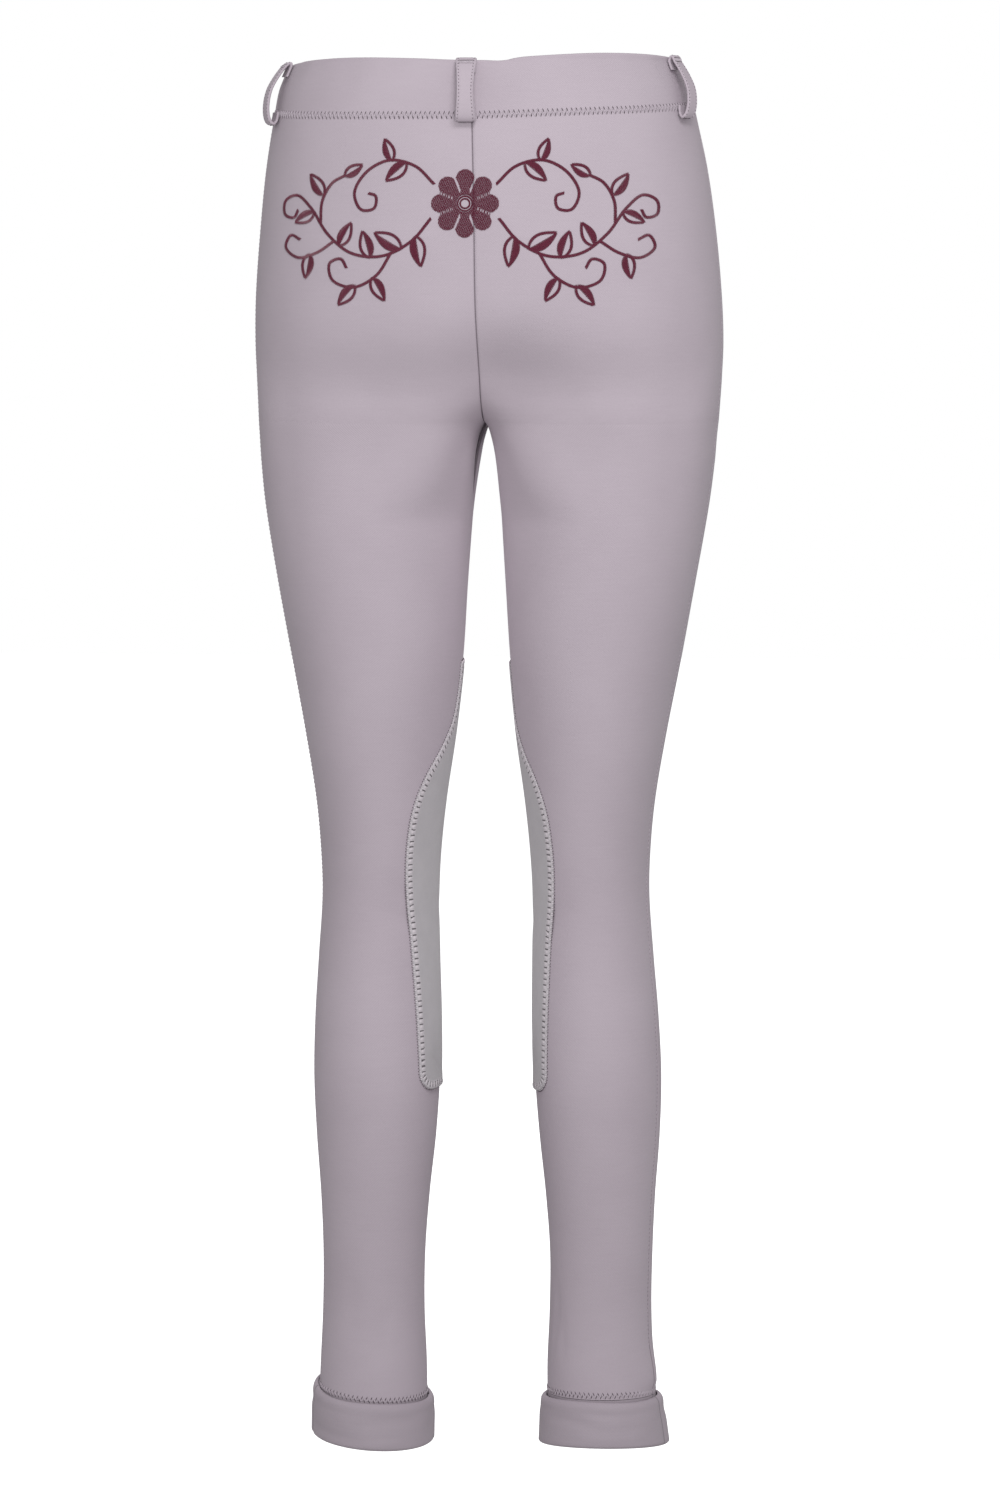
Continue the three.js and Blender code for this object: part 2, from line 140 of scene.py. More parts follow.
def reach(drop):
    """Half the angle of a section: half a turn on a leg, less where the centre plane cuts it off."""
    middle_x, half_width, _, _, square = oval(drop)
    return np.pi - np.arccos(np.clip(middle_x / half_width, 0, 1) ** (square / 2))


def form_normal(x, y, drop):
    def outside(px, py, at):
        middle_x, half_width, middle_y, half_depth, square = oval(at)
        return np.abs((px - middle_x) / half_width) ** square + np.abs((py - middle_y) / half_depth) ** square

    return unit(np.stack([
        outside(x + 0.4, y, drop) - outside(x - 0.4, y, drop),
        outside(x, y + 0.4, drop) - outside(x, y - 0.4, drop),
        outside(x, y, drop - 0.4) - outside(x, y, drop + 0.4),
    ], -1))


def form_point(angle, drop, out=0.0):
    """A point of the right half by angle from the outermost line, moved out from the skin."""
    angle, drop, out = np.broadcast_arrays(*(np.asarray(v, float) for v in (angle, drop, out)))
    middle_x, half_width, middle_y, half_depth, square = oval(drop)
    x = middle_x + half_width * signed_power(np.cos(angle), 2 / square)
    y = middle_y + half_depth * signed_power(np.sin(angle), 2 / square)
    point = np.stack([np.maximum(x, 0), y, WAIST_DROP - drop], -1)
    away = form_normal(x, y, drop)
    above_crotch = 1 - smooth_step(drop, CROTCH_DROP - 10, CROTCH_DROP)
    away[..., 0] *= 1 - (1 - smooth_step(x, 0, 10)) * above_crotch
    return point + away * out[..., None]


def on_side(point, sign, drop, aside=0.0):
    """A point of the right half put on its side of the body, which leans a little."""
    point[..., 0] = sign * (point[..., 0] + aside) + along(FORM, LEAN, drop)
    return point


def skin_point(sign, turn, drop, out=0.0):
    """A point by turn: 0 is the centre back or inside leg, 1 the outermost line, 2 the front again."""
    return on_side(form_point((turn - 1) * reach(drop), drop, out), sign, drop, 0.02)


def side_seam_turn(drop):
    return 1 - np.radians(along(FORM, SIDE_SEAM, drop)) / reach(drop)


def band_edge(column, turn, sign):
    level = along(WAIST, column, turn)
    return level - WAIST_TILT * sign * skin_point(1, turn, level)[..., 0]


def askew(side, turn, pitch):
    _, _, roll = TURN_UPS[side][:3]
    middle_x, _, middle_y, _, _ = oval(HEM_DROP)
    point = skin_point(1, turn, HEM_DROP)
    return -roll * (point[..., 0] - middle_x) + pitch * (point[..., 1] - middle_y)


def crease_relief(creases, run, drop):
    """Soft troughs and ridges along short bowed lines: x, drop, x, drop, bow, half width, depth."""
    relief = np.zeros(run.shape)
    for x0, d0, x1, d1, bow, half_width, depth in creases:
        length = math.hypot(x1 - x0, d1 - d0)
        ux, ud = (x1 - x0) / length, (d1 - d0) / length
        k = ((run - x0) * ux + (drop - d0) * ud) / length
        inside = np.clip(k, 0, 1)
        off = (run - x0) * ud - (drop - d0) * ux - bow * 4 * inside * (1 - inside)
        fade = (4 * inside * (1 - inside)) ** 0.8
        relief += depth * hump(off, half_width) * fade
    return relief


def run_along(points, axis=0):
    """Length along lines of points, up to each point."""
    steps = np.linalg.norm(np.diff(points, axis=axis), axis=-1)
    return np.concatenate([np.zeros_like(np.take(steps, [0], axis)), np.cumsum(steps, axis=axis)], axis=axis)


def cloth_map(across, down):
    """A map of the cloth in centimetres, its second axis pointing up."""
    return np.stack([across, -down], -1) * 0.1


def make_mesh(name, points, faces, uvs=None):
    """A smooth-shaded piece from points in millimetres, with its faces turned to point out."""
    points = np.asarray(points) * 0.001
    corners = points[np.array([face[:3] for face in faces])]
    quads = points[np.array([(face[0], face[-2], face[-1]) for face in faces])]
    volume = sum(np.linalg.det(part).sum() for part in (corners, quads))
    if volume < 0:
        faces = [face[::-1] for face in faces]
    mesh = bpy.data.meshes.new(name)
    mesh.from_pydata(points.tolist(), [], faces)
    if uvs is not None:
        index = np.empty(len(mesh.loops), dtype=np.int32)
        mesh.loops.foreach_get("vertex_index", index)
        for layer_name, values in uvs.items():
            layer = mesh.uv_layers.new(name=layer_name)
            layer.data.foreach_set("uv", values[index].astype(np.float32).ravel())
    piece = bpy.data.objects.new(name, mesh)
    bpy.context.scene.collection.objects.link(piece)
    piece.select_set(True)
    bpy.context.view_layer.objects.active = piece
    bpy.ops.object.shade_smooth_by_angle(angle=math.radians(50))
    piece.select_set(False)
    return piece


def cloth_shell(name, outer, inner, uvs, is_ring=False):
    """Closed thin cloth from an outer and an inner grid of points. A ring closes on its first row."""
    rows, columns = outer.shape[:2]
    count = rows * columns
    k = np.arange(rows if is_ring else rows - 1)
    i, j = np.meshgrid(k, np.arange(columns - 1), indexing="ij")
    i, j, below = i.ravel(), j.ravel(), ((i + 1) % rows).ravel()
    front = np.stack([i * columns + j, i * columns + j + 1, below * columns + j + 1, below * columns + j], -1)
    faces = [front, front[:, ::-1] + count]
    after = (k + 1) % rows
    for column, flip in ((0, False), (columns - 1, True)):
        rim = np.stack([k, after, after, k], -1) * columns + column + np.array([0, 0, count, count])
        faces.append(rim[:, ::-1] if flip else rim)
    if not is_ring:
        m = np.arange(columns - 1)
        for row, flip in ((0, True), (rows - 1, False)):
            rim = np.stack([m, m + 1, m + 1, m], -1) + row * columns + np.array([0, 0, count, count])
            faces.append(rim[:, ::-1] if flip else rim)
    points = np.concatenate([outer.reshape(-1, 3), inner.reshape(-1, 3)])
    doubled = {key: np.concatenate([value.reshape(-1, 2)] * 2) for key, value in uvs.items()}
    return make_mesh(name, points, np.concatenate(faces).tolist(), doubled)


def put_on(piece, material, node=None):
    """Gives a piece its cloth, its body and its place in the CAD model."""
    piece.data.materials.append(material)
    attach(piece, "root")
    if node:
        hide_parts(node)
    return piece


def start_nodes(owner):
    """Clears the nodes of a material or world, and returns a short way to add nodes and join them."""
    owner.use_nodes = True
    tree = owner.node_tree
    tree.nodes.clear()

    def add(kind, inputs=(), **settings):
        node = tree.nodes.new(kind)
        for key, value in settings.items():
            setattr(node, key, value)
        for socket, value in dict(inputs).items():
            if isinstance(value, bpy.types.NodeSocket):
                tree.links.new(value, node.inputs[socket])
            else:
                node.inputs[socket].default_value = value
        return node

    return add


def noise(add, place, scale, detail, roughness=0.5):
    inputs = {"Vector": place, "Scale": scale, "Detail": detail, "Roughness": roughness}
    return add("ShaderNodeTexNoise", inputs).outputs["Fac"]


def mixed(add, share, first, second):
    return add("ShaderNodeMix", {0: share, 2: first, 3: second}).outputs[0]


def painted(add, share, under, over):
    """One colour laid over another."""
    return add("ShaderNodeMix", {0: share, 6: under, 7: over}, data_type="RGBA").outputs[2]


def shaded(add, **inputs):
    """Ends a material with its shader."""
    shader = add("ShaderNodeBsdfPrincipled", {key.replace("_", " "): value for key, value in inputs.items()})
    add("ShaderNodeOutputMaterial", {"Surface": shader.outputs["BSDF"]})


def two_tone(add, factor, dark, light):
    """A colour between a dark and a light tone."""
    ramp = add("ShaderNodeValToRGB", {"Fac": factor})
    for element, position, color in zip(ramp.color_ramp.elements, (0.3, 0.7), (dark, light)):
        element.position = position
        element.color = (*color, 1)
    return ramp.outputs["Color"]


def knit_material(name, tones, has_seam_shade=False):
    """Fine twill-faced stretch knit. The maps are in centimetres of cloth and of distance to a seam."""
    material = bpy.data.materials.new(name)
    add = start_nodes(material)
    cloth = add("ShaderNodeUVMap", uv_map="cloth").outputs["UV"]
    turned = add("ShaderNodeMapping", {"Vector": cloth, "Rotation": (0, 0, math.radians(58))})
    lines = add("ShaderNodeTexWave", {
        "Vector": turned.outputs["Vector"], "Scale": 3.5, "Distortion": 1.6, "Detail": 2.0,
        "Detail Scale": 3.0,
    }).outputs["Fac"]
    stretched = add("ShaderNodeMapping", {"Vector": cloth, "Scale": (0.35, 3.2, 1)}).outputs["Vector"]
    twilled = mixed(add, 0.42, noise(add, cloth, 9.0, 4.0, 0.65), lines)
    coursed = mixed(add, 0.16, twilled, noise(add, stretched, 1.6, 3.0))
    mottled = mixed(add, 0.35, coursed, noise(add, cloth, 0.12, 3.0))
    bump = add("ShaderNodeBump", {"Height": coursed, "Strength": 0.35, "Distance": 0.0003})
    color = two_tone(add, mottled, *tones)
    # Painted shade: the knit is darkened within about 0.6 mm of each seam.
    if has_seam_shade:
        to_seam = add("ShaderNodeSeparateXYZ", {0: add("ShaderNodeUVMap", uv_map="seams").outputs["UV"]})
        seam_shade_share = add("ShaderNodeMapRange", {0: to_seam.outputs["X"], 1: 0.02, 2: 0.06, 3: 0.66, 4: 0.0})
        color = painted(add, seam_shade_share.outputs[0], color, PAINTED_SEAM_SHADE)
    shaded(add, Base_Color=color, Roughness=0.82, Specular_IOR_Level=0.25, Sheen_Weight=0.08,
           Sheen_Roughness=0.5, Normal=bump.outputs["Normal"])
    return material


# The dark and the light tone of the knit, and the painted shade along each seam.
LILAC = ((0.395, 0.338, 0.385), (0.485, 0.422, 0.474))
PAINTED_SEAM_SHADE = (0.1, 0.078, 0.095, 1)
seamed_knit = knit_material("lilac_knit_seamed", LILAC, has_seam_shade=True)

# Creases in the panels, x measured on the cloth from the centre seam or inside leg seam.
CREASES = {
    "back_left": [
        (30, 560, 74, 548, -5, 7, -0.7),
        (22, 546, 66, 536, -4, 6, -0.5),
        (40, 820, 52, 868, 2, 6, -0.7),
        (66, 800, 70, 850, -2, 7, -0.6),
    ],
    "back_right": [
        (28, 556, 70, 546, -5, 7, -0.7),
        (18, 566, 60, 561, -4, 6, -0.5),
        (22, 806, 24, 850, 1, 3.5, -0.5),
        (30, 824, 33, 862, -1, 3, -0.4),
        (20, 830, 19, 858, 1, 2.5, -0.35),
    ],
    "front_left": [
        (4, 214, 66, 186, -6, 8, -1.2),
        (6, 228, 84, 212, -7, 9, -1.4),
        (10, 244, 78, 258, 6, 9, -1.0),
        (24, 566, 70, 572, 4, 7, -0.6),
        (30, 840, 44, 872, 2, 6, -0.6),
    ],
    "front_right": [
        (4, 218, 60, 192, -6, 8, -1.1),
        (6, 230, 88, 216, -8, 9, -1.5),
        (12, 242, 70, 254, 5, 8, -0.9),
        (26, 560, 74, 568, 4, 7, -0.6),
        (34, 836, 46, 870, 2, 6, -0.5),
    ],
}
# Hollows of the seat: distance from the centre seam, drop, half width, half height above and below,
# and depth. The first is the same on both sides, and the second lies a little to the right.
BELOW_FULLNESS = (60, 217, 115, 36, 95, 17.5)
BESIDE_CENTRE = (13, 205, 33, 31, 75, 12.5)

# Depth and half width of the grooves at the centre and inside leg seams, side seams and waist seam.
CENTRE_GROOVE = (0.9, 0.8)
SIDE_GROOVE = (1.0, 0.85)
WAIST_GROOVE = (0.15, 1.3)
# The right side seam stands out just above the turn-up: how far, and its half width.
RIGHT_FLARE = (2.3, 15)
ROWS_ABOVE_CROTCH = 96
ROWS_BELOW_CROTCH = 184
PANEL_COLUMNS = 84


def across_cleft(from_centre, drop):
    """Where the cloth spans the cleft above the crotch: its fullness, 0 to 1, and its stand-off."""
    middle_x, half_width, _, half_depth, square = oval(drop)
    inward = np.clip((middle_x - from_centre) / half_width, 0, 1)
    squarer = square + 2.3 * smooth_step(drop, 145, 205) * (1 - smooth_step(drop, 240, 300))
    fullness = (1 - inward ** squarer) ** (1 / squarer)
    return fullness, half_depth * (fullness - (1 - inward ** square) ** (1 / square))


def seat_shape(across, drop, back_facing):
    """How far the cloth stands off the form of the seat, by its place to the right of the centre."""
    from_centre = np.abs(across)
    fullness, shape = across_cleft(from_centre, drop)
    facing = np.where(from_centre < oval(drop)[0], 1, smooth_step(back_facing, 0.15, 0.75))
    facing = facing * smooth_step(fullness, 0.2, 0.85)
    for place, hollow in ((from_centre, BELOW_FULLNESS), (across, BESIDE_CENTRE)):
        x, middle, half_width, above, below, depth = hollow
        half_height = np.where(drop < middle, above, below)
        spread = ((place - x) / half_width) ** 2 + ((drop - middle) / half_height) ** 2
        shape = shape - depth * facing * np.exp(-spread)
    return shape


def panel_grid(side, is_back):
    """Turn, drop and cloth measure of each point of a panel, waist seam to hem and seam to seam."""
    sign = SIDES[side]
    above = CROTCH_DROP - (CROTCH_DROP - SEAM_LEVEL) * np.linspace(1, 0, ROWS_ABOVE_CROTCH + 1) ** 1.6
    below = CROTCH_DROP + (HEM_DROP - CROTCH_DROP) * np.linspace(0, 1, ROWS_BELOW_CROTCH + 1)[1:] ** 1.2
    even = np.linspace(0, 1, PANEL_COLUMNS + 1)
    crowded = 0.15 * even + 0.85 * (1 - np.cos(np.pi * even)) / 2
    level, share = np.meshgrid(np.concatenate([above, below]), crowded, indexing="ij")
    inseam = 0 if is_back else 2
    turn = inseam + (side_seam_turn(level) - inseam) * share
    top, _, _, pitch = TURN_UPS[side][:4]
    waist_shift = (band_edge(2, turn, sign) - SEAM_LEVEL) * (1 - smooth_step(level, SEAM_LEVEL, 110))
    hem_shift = (top + askew(side, turn, pitch) - 1.5 - HEM_DROP) * smooth_step(level, 800, HEM_DROP)
    drop = level + waist_shift + hem_shift
    return sign, turn, drop, level


def pulled_in(distance, groove):
    depth, half_width = groove
    return -depth * hump(distance, half_width)


def panel(name, side, is_back):
    sign, turn, drop, level = panel_grid(side, is_back)
    skin = skin_point(sign, turn, drop)
    run = run_along(skin, axis=1)
    to_side = run[:, -1:] - run
    relief = pulled_in(run, CENTRE_GROOVE) + pulled_in(to_side, SIDE_GROOVE)
    relief += pulled_in(level - SEAM_LEVEL, WAIST_GROOVE)
    if side == "right":
        above_hem = smooth_step(level, 846, 872) * (1 - smooth_step(level, 874, 883))
        relief -= above_hem * pulled_in(to_side, RIGHT_FLARE)
    relief += crease_relief(CREASES[name], run, drop)
    back_facing = skin[..., 1] - skin_point(sign, turn, drop, 1.0)[..., 1]
    across = skin[..., 0] - along(FORM, LEAN, drop)
    outer = skin_point(sign, turn, drop, relief)
    inner = skin_point(sign, turn, drop, relief - KNIT)
    for wall in (outer, inner):
        if is_back:
            wall[..., 1] -= seat_shape(across, drop, back_facing)
        else:
            wall[..., 1] += across_cleft(np.abs(across), drop)[1]
    # Distance to the nearest seam, which places the painted seam shade.
    to_seam = np.minimum(run, to_side * 0.5)
    maps = {"cloth": cloth_map(run, drop), "seams": cloth_map(to_seam, SEAM_LEVEL - level)}
    return cloth_shell(name + "_panel", outer, inner, maps)


# Flat cut of each panel: width at its widest and length, in metres, and area in square metres.
PANEL_CUT = {"back": ((0.247, 0.886), 0.1383), "front": ((0.248, 0.880), 0.1597)}
for side in SIDES:
    for face, (flat, area) in PANEL_CUT.items():
        name = f"{face}_{side}"
        piece = put_on(panel(name, side, face == "back"), seamed_knit, name)

# WAISTBAND
# A shaped band of the same knit, doubled and folded over at its top edge, in a back and a front
# piece that meet at the side seams. It is sewn to the panels right side to right side.
BAND_CLOTH = 2.6
BAND_ROWS = 30
BAND_COLUMNS = 220
BAND_MM_PER_TURN = 150
BAND_END_GROOVE = (0.6, 0.9)
FOLD_RADIUS = 1.25
# The centre back loop pulls the top edge down: where, its half width in turns, and how far.
LOOP_PULL = (0.085, 0.045, 1.3)
lilac_knit = knit_material("lilac_knit", LILAC)


def rounded(distance, radius):
    """How far a rounded edge falls away at a distance in from it."""
    return radius - np.sqrt(np.maximum(radius ** 2 - np.maximum(radius - distance, 0) ** 2, 0))


def waistband_piece(name, is_back):
    end = side_seam_turn(SEAM_LEVEL)
    start = 0 if is_back else 2
    t = np.linspace(0, 1, BAND_COLUMNS + 1)
    sign = np.where(t < 0.5, -1.0, 1.0)[:, None]
    turn = (start + (end - start) * np.abs(2 * t - 1))[:, None]
    down = np.linspace(1, 0, BAND_ROWS + 1)[None, :] ** 1.5
    loop_turn, loop_width, pull = LOOP_PULL
    top = band_edge(1, turn, sign) + (pull * hump(sign * turn - loop_turn, loop_width) if is_back else 0)
    bottom = band_edge(2, turn, sign)
    drop = top + (bottom - top) * down
    height = bottom - top
    roll = rounded(height * down, FOLD_RADIUS)
    groove = pulled_in(height * (1 - down), WAIST_GROOVE)
    groove = groove + pulled_in((turn - end) * BAND_MM_PER_TURN, BAND_END_GROOVE)
    angle = (turn - 1) * reach(0)
    wave = 0.35 * np.sin(t * 61)[:, None] * np.sin(t * 23 + 1)[:, None] * (1 - down) ** 2

    def face(out):
        return on_side(form_point(np.broadcast_to(angle, drop.shape), drop, out), sign, drop)

    outer = face(groove + wave * 0.6 - roll)
    inner = face(groove * 0.3 - BAND_CLOTH + roll)
    run = run_along(outer[:, 0])[:, None] + np.zeros(drop.shape)
    return cloth_shell(name, outer, inner, {"cloth": cloth_map(run, drop)})


for node, is_back, flat, area in (
    ("waistband_back", True, (0.36, 0.04), 0.0135),
    ("waistband_front", False, (0.40, 0.041), 0.0128),
):
    piece = put_on(waistband_piece(node + "_band", is_back), lilac_knit, node)

# SEAM STITCHING
# Polyester thread of the cloth's colour. A zigzag cover stitch holds the waist seam down, and fine
# lockstitches run beside the side seams. Each stitch is a short thread that dips in at both ends.


def thread_material(name, color, roughness=0.6, sheen=0.1):
    material = bpy.data.materials.new(name)
    add = start_nodes(material)
    place = add("ShaderNodeTexCoord").outputs["Object"]
    twist = noise(add, place, 2600.0, 2.0)
    tone = two_tone(add, twist, [c * 0.78 for c in color], [min(c * 1.16, 1) for c in color])
    bump = add("ShaderNodeBump", {"Height": twist, "Strength": 0.3, "Distance": 0.0001})
    shaded(add, Base_Color=tone, Roughness=roughness, Sheen_Weight=sheen, Normal=bump.outputs["Normal"])
    return material


seam_thread = thread_material("seam_thread", (0.51, 0.448, 0.5))
# Dark marks of painted shade, sunk into needle holes and beside stitches.
needle_hole_shade = thread_material("needle_hole_shade", (0.1, 0.075, 0.092), 0.9, 0)


def sew(name, starts, ends, normals, material, radius, lift, slot="knit", sides=5, rings=4):
    """Short threads from start to end, raised in the middle and sunk at both ends, as one piece."""
    starts, ends, normals = (np.asarray(v, float) for v in (starts, ends, normals))
    along_it = ends - starts
    across = unit(np.cross(unit(along_it), normals))
    up = np.cross(across, unit(along_it))
    share = np.linspace(0, 1, rings)[:, None]
    girth = 0.35 + 0.65 * np.sin(np.pi * share) ** 0.5
    raised = lift * np.sin(np.pi * share) ** 0.7
    angle = np.linspace(0, 2 * np.pi, sides, endpoint=False)[:, None]
    middle = starts[:, None] + along_it[:, None] * share + up[:, None] * raised
    ring = across[:, None] * np.cos(angle) + up[:, None] * np.sin(angle)
    points = middle[:, :, None] + ring[:, None] * (radius * girth)[:, None]
    base = (np.arange(len(starts)) * rings * sides)[:, None, None]
    r = np.arange(rings - 1)[None, :, None]
    s = np.arange(sides)[None, None, :]
    following = (s + 1) % sides
    quads = np.stack([
        base + r * sides + s, base + r * sides + following,
        base + (r + 1) * sides + following, base + (r + 1) * sides + s,
    ], -1).reshape(-1, 4)
    caps = []
    for first in range(0, len(starts) * rings * sides, rings * sides):
        last = first + (rings - 1) * sides
        caps += [[*range(first, first + sides)][::-1], [*range(last, last + sides)]]
    put_on(make_mesh(name, points.reshape(-1, 3), quads.tolist() + caps), material)


def measured(points, spacing, first=0.0):
    """Places along a line of points at an even spacing: shares between the points."""
    length = run_along(points)
    return np.interp(np.arange(first, length[-1], spacing), length, np.arange(len(points)))


def pick(values, places):
    """Values at such places."""
    i = np.clip(np.floor(places).astype(int), 0, len(values) - 2)
    t = (places - i).reshape(-1, *[1] * (values.ndim - 1))
    return values[i] * (1 - t) + values[i + 1] * t


def with_normal(sign, turn, drop, out):
    """Points a little off the skin, and the way out from them."""
    low = skin_point(sign, turn, drop, out)
    return low, skin_point(sign, turn, drop, out + 1) - low


def lockstitches(line, normal, step, length):
    """Starts, ends and ways out of even stitches along a line."""
    there = measured(line, step, length)
    here = measured(line, step)[: len(there)]
    return pick(line, here), pick(line, there), pick(normal, here)


def zigzag(name, sign, first, last, level, width, step):
    """A zigzag round the body below a level line, with a slanted dash of painted shadow beside each needle
    hole.
    """
    turn = np.linspace(first, last, 900)
    line, _ = with_normal(sign, turn, level(turn), 0.0)
    at = pick(turn, measured(line, step))
    is_high = np.arange(len(at)) % 2 == 0
    point, normal = with_normal(sign, at, level(at) + np.where(is_high, 0, width), 0.05)
    sew(name, point[:-1], point[1:], normal[:-1], seam_thread, 0.29, 0.2)
    stride = unit(point[1:] - point[:-1])
    beside = np.cross(stride, normal[:-1]) * np.where(is_high[:-1], -sign, sign)[:, None]
    # A dark dash of painted shadow beside each needle point, sunk a little into the knit.
    shadow_dash = point[:-1] + beside * 0.62 - normal[:-1] * 0.1
    sew(name + "_shadow_dashes", shadow_dash, shadow_dash + stride * 2.4, normal[:-1], needle_hole_shade, 0.36, 0.05, rings=3)


# Zigzag over the waist seam, 5 mm deep with a full swing each 3.1 mm.
for side, sign in SIDES.items():
    zigzag(f"waist_seam_stitch_{side}", sign, 0.004, 1.996,
           lambda turn: band_edge(2, turn, sign) - 2.9, width=4.9, step=1.55)

# Lockstitch 1.5 mm behind each side seam, in stitches of 2.1 mm.
stitches = []
for sign in SIDES.values():
    drop = np.linspace(42, 880, 1200)
    both_sides = skin_point(1, np.array([[0.99], [1.01]]), drop)
    mm_per_turn = np.linalg.norm(both_sides[1] - both_sides[0], axis=1) / 0.02
    turn = side_seam_turn(drop) - 1.5 / mm_per_turn
    line, normal = with_normal(sign, turn, drop, 0.0)
    whole_steps = int(run_along(line)[-1] / 2.9)
    stitches.append([v[:whole_steps] for v in lockstitches(line, normal, 2.9, 2.1)])
sew("side_seam_stitch", *map(np.concatenate, zip(*stitches)), seam_thread, 0.18, 0.12)

# KNEE PATCHES
# A grip patch of sueded microfibre is laid over the inside of each knee, across the inside leg
# seam, and sewn round its edge with a wide zigzag that shows as a ladder of slits, painted dark as shade.
# Outline: drop, and the back and the front edge in degrees round the leg from the inside leg seam.
KNEE_PATCH = np.array([
    (393, 6, 18), (411, 6, 24), (430, 11, 34), (447, 25, 45), (466, 41, 57), (486, 51, 66),
    (506, 55, 71), (529, 56, 73), (552, 54, 72), (576, 50, 69), (621, 45, 63), (677, 40.5, 57),
])
PATCH_TOP, PATCH_FOOT = KNEE_PATCH[[0, -1], 0]
PATCH_ROWS = 170
PATCH_COLUMNS = 76
PATCH_STAND_OFF = 1.45
BORDER_STEP = 0.8
# From one rung of the ladder to another.
RUNG = 4.0


def suede_material():
    """Sueded nap with the stitched ladder, by the edge map: centimetres in from the edge and along it."""
    material = bpy.data.materials.new("grip_suede")
    add = start_nodes(material)

    def reckon(operation, *values, clamp=False):
        node = add("ShaderNodeMath", dict(enumerate(values)), operation=operation, use_clamp=clamp)
        return node.outputs[0]

    cloth = add("ShaderNodeUVMap", uv_map="cloth").outputs["UV"]
    edge = add("ShaderNodeSeparateXYZ", {0: add("ShaderNodeUVMap", uv_map="edge").outputs["UV"]})
    inward, round_it = edge.outputs["X"], edge.outputs["Y"]
    in_rung = reckon("FRACT", reckon("DIVIDE", round_it, RUNG * 0.1))
    rung = reckon("ABSOLUTE", reckon("SUBTRACT", in_rung, 0.5))
    slit_and_shade = reckon("SUBTRACT", 1.5, reckon("DIVIDE", rung, 0.09), clamp=True)
    band = reckon("MULTIPLY", reckon("GREATER_THAN", inward, 0.14), reckon("LESS_THAN", inward, 0.5))
    slits_and_shade = reckon("MULTIPLY", slit_and_shade, band)
    from_middle = reckon("ABSOLUTE", reckon("SUBTRACT", inward, 0.3))
    puff_band = reckon("SUBTRACT", 1.0, reckon("DIVIDE", from_middle, 0.3), clamp=True)
    nap = noise(add, cloth, 14.0, 5.0, 0.7)
    tone = mixed(add, 0.5, nap, noise(add, cloth, 0.5, 4.0, 0.6))
    color = two_tone(add, tone, (0.38, 0.359, 0.379), (0.452, 0.428, 0.449))
    color = painted(add, reckon("MULTIPLY", puff_band, 0.95), color, (0.66, 0.605, 0.645, 1))
    # Painted shade in the slits between the rungs of the ladder. The same mask also sinks the slits in the
    # bump.
    color = painted(add, reckon("MULTIPLY", slits_and_shade, 0.92), color, (0.09, 0.075, 0.086, 1))
    puffs = reckon("MULTIPLY", puff_band, reckon("MULTIPLY_ADD", rung, 1.6, 0.2))
    height = reckon("ADD", reckon("MULTIPLY", nap, 0.16), reckon("SUBTRACT", puffs, slits_and_shade))
    bump = add("ShaderNodeBump", {"Height": height, "Strength": 0.9, "Distance": 0.0009})
    shaded(add, Base_Color=color, Roughness=0.92, Specular_IOR_Level=0.2, Sheen_Weight=0.15,
           Sheen_Roughness=0.6, Normal=bump.outputs["Normal"])
    return material


grip_suede = suede_material()
patch_thread = thread_material("patch_thread", (0.66, 0.6, 0.645))


def patch_point(sign, drop, u, out):
    """A point of a patch, u running from its back edge to its front edge, with rounded corners."""
    _, half_width, _, half_depth, _ = oval(drop)
    cut = rounded(PATCH_FOOT - drop, 13) + rounded(drop - PATCH_TOP, 3)
    cut_angle = cut / ((half_width + half_depth) / 2)
    back = np.radians(along(KNEE_PATCH, 1, drop)) - cut_angle
    front = np.radians(along(KNEE_PATCH, 2, drop)) - cut_angle
    return on_side(form_point(np.pi + back + (-front - back) * u, drop, out), sign, drop, 0.15)


def round_border(grid):
    """The points of a grid's four edges, one after the other."""
    return np.concatenate([grid[:, 0], grid[-1, 1:], grid[::-1, -1][1:], grid[0, ::-1][1:]])


PATCH_CREASES = {
    "left": [
        (9, 655, 25, 667, 3, 1.0, -0.6), (20, 560, 70, 553, -4, 7, -0.4),
        (7, 597, 15, 612, 1, 0.8, -0.3), (8, 614, 17, 603, 1, 0.7, -0.28),
        (10, 540, 12, 588, 0.6, 0.8, -0.25), (15, 556, 14, 600, 0.5, 0.8, -0.2),
    ],
    "right": [(16, 566, 64, 558, -4, 7, -0.45), (30, 640, 46, 652, 2, 4, -0.25)],
}

